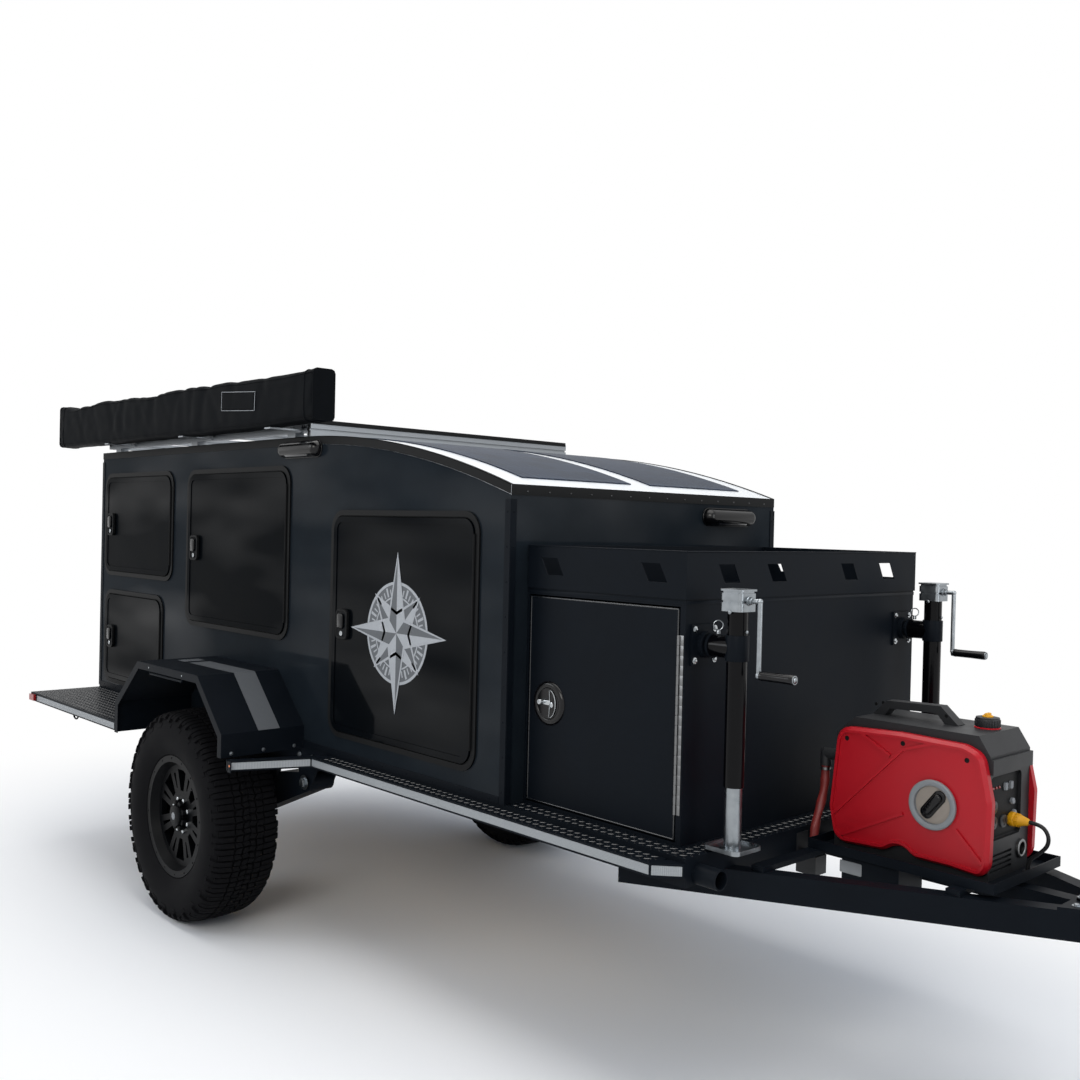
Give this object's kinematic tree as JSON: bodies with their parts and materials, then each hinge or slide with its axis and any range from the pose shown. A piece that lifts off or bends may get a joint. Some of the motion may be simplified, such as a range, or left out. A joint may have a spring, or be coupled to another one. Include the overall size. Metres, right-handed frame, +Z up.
{
  "type": "teardrop trailer",
  "caption": "Off-road teardrop camping trailer with a curved nose roof, side doors, roof rack, awning bag, tongue box, corner jacks and a generator on its tongue.",
  "frame": {"origin": "on the ground, midway along the trailer's length and on its centreline", "axes": "+X forward along the tongue, +Y to the trailer's left, +Z up"},
  "size_m": [5.29, 2.132, 2.232],
  "materials": {
    "black_powder_coat": "satin",
    "body_grey": "gloss",
    "door_black": "gloss",
    "black_trim": "satin",
    "white_roof": "gloss",
    "solar_cells": "textured",
    "clear_anodised": "satin",
    "tread_plate": "embossed",
    "zinc_plate": "bright",
    "stainless": "brushed",
    "tyre": "matt",
    "wheel_black": "satin",
    "coated_fabric": "matt",
    "red_plastic": "satin",
    "dark_plastic": "matt",
    "yellow_plastic": "satin",
    "red_sleeve": "matt",
    "cable_rubber": "matt",
    "lamp_lens": "frosted",
    "red_lens": "gloss",
    "cabin_board": "satin"
  },
  "bodies": {
    "trailer": {"frame_side_rails": "black_powder_coat", "frame_crossmembers": "black_powder_coat", "tongue_rails": "black_powder_coat", "coupler": "black_powder_coat", "tongue_jack_tube": "black_powder_coat", "tongue_jack_fittings": "zinc_plate", "step_bars": "black_powder_coat", "side_platforms": "tread_plate", "front_deck": "tread_plate", "fender_right": "black_powder_coat", "fender_left": "black_powder_coat", "trailing_arms": "black_powder_coat", "suspension_mounts": "black_powder_coat", "cabin_floor": "cabin_board", "wall_right": "body_grey", "wall_left": "body_grey", "wall_front": "body_grey", "wall_rear": "body_grey", "roof": "white_roof", "door_frames": "black_trim", "tongue_box": "black_powder_coat", "box_hinges": "stainless", "box_basket": "black_powder_coat", "roof_rack": "clear_anodised", "awning_bag": "coated_fabric", "awning_brackets": "clear_anodised", "solar_panels": "solar_cells", "porch_lights": "lamp_lens", "red_lamps": "red_lens", "jack_brackets": "black_powder_coat", "generator_tray": "black_powder_coat", "generator_core": "dark_plastic", "generator_shells": "red_plastic", "generator_plug": "yellow_plastic", "generator_lead": "cable_rubber", "sleeved_conduit": "red_sleeve", "junction_box": "dark_plastic", "battery_box": "black_powder_coat"},
    "right_wheel": {"tyre_right": "tyre", "wheel_right": "wheel_black"},
    "left_wheel": {"tyre_left": "tyre", "wheel_left": "wheel_black"},
    "rear_hatch": {"rear_hatch": "door_black"},
    "right_front_door": {"door_front_right": "door_black"},
    "right_mid_door": {"door_mid_right": "door_black"},
    "right_upper_door": {"door_upper_right": "door_black"},
    "right_lower_door": {"door_lower_right": "door_black"},
    "right_box_door": {"box_door_right": "black_powder_coat"},
    "right_corner_jack": {"jack_tube_right": "black_powder_coat", "jack_fittings_right": "zinc_plate"},
    "left_front_door": {"door_front_left": "door_black"},
    "left_mid_door": {"door_mid_left": "door_black"},
    "left_upper_door": {"door_upper_left": "door_black"},
    "left_lower_door": {"door_lower_left": "door_black"},
    "left_box_door": {"box_door_left": "black_powder_coat"},
    "left_corner_jack": {"jack_tube_left": "black_powder_coat", "jack_fittings_left": "zinc_plate"}
  },
  "joints": [
    {"name": "right_wheel_spin", "type": "hinge", "parent": "trailer", "child": "right_wheel", "pos_m": [-0.843, -0.893, 0.43], "axis": [0, 1, 0], "continuous": true},
    {"name": "right_front_door_hinge", "type": "hinge", "parent": "trailer", "child": "right_front_door", "pos_m": [0.6885, -0.712, 1.265], "axis": [0, 0, 1], "range_deg": [0, 90]},
    {"name": "right_mid_door_hinge", "type": "hinge", "parent": "trailer", "child": "right_mid_door", "pos_m": [-0.5125, -0.712, 1.518], "axis": [0, 0, 1], "range_deg": [0, 90]},
    {"name": "right_upper_door_hinge", "type": "hinge", "parent": "trailer", "child": "right_upper_door", "pos_m": [-1.5825, -0.712, 1.612], "axis": [0, 0, 1], "range_deg": [0, 90]},
    {"name": "right_lower_door_hinge", "type": "hinge", "parent": "trailer", "child": "right_lower_door", "pos_m": [-1.6755, -0.712, 1.0345], "axis": [0, 0, 1], "range_deg": [0, 90]},
    {"name": "right_box_door_hinge", "type": "hinge", "parent": "trailer", "child": "right_box_door", "pos_m": [1.4925, -0.62474, 1.101], "axis": [0, 0, 1], "range_deg": [0, 90]},
    {"name": "right_jack_swivel", "type": "hinge", "parent": "trailer", "child": "right_corner_jack", "pos_m": [1.552, -0.541, 1.326], "axis": [-1, 0, 0], "range_deg": [0, 90]},
    {"name": "left_wheel_spin", "type": "hinge", "parent": "trailer", "child": "left_wheel", "pos_m": [-0.843, 0.893, 0.43], "axis": [0, 1, 0], "continuous": true},
    {"name": "left_front_door_hinge", "type": "hinge", "parent": "trailer", "child": "left_front_door", "pos_m": [0.6885, 0.712, 1.265], "axis": [0, 0, -1], "range_deg": [0, 90]},
    {"name": "left_mid_door_hinge", "type": "hinge", "parent": "trailer", "child": "left_mid_door", "pos_m": [-0.5125, 0.712, 1.518], "axis": [0, 0, -1], "range_deg": [0, 90]},
    {"name": "left_upper_door_hinge", "type": "hinge", "parent": "trailer", "child": "left_upper_door", "pos_m": [-1.5825, 0.712, 1.612], "axis": [0, 0, -1], "range_deg": [0, 90]},
    {"name": "left_lower_door_hinge", "type": "hinge", "parent": "trailer", "child": "left_lower_door", "pos_m": [-1.6755, 0.712, 1.0345], "axis": [0, 0, -1], "range_deg": [0, 90]},
    {"name": "left_box_door_hinge", "type": "hinge", "parent": "trailer", "child": "left_box_door", "pos_m": [1.4925, 0.62474, 1.101], "axis": [0, 0, -1], "range_deg": [0, 90]},
    {"name": "left_jack_swivel", "type": "hinge", "parent": "trailer", "child": "left_corner_jack", "pos_m": [1.552, 0.541, 1.326], "axis": [1, 0, 0], "range_deg": [0, 90]},
    {"name": "rear_hatch_hinge", "type": "hinge", "parent": "trailer", "child": "rear_hatch", "pos_m": [-2.432, 0, 1.8275], "axis": [0, 1, 0], "range_deg": [0, 90]}
  ]
}
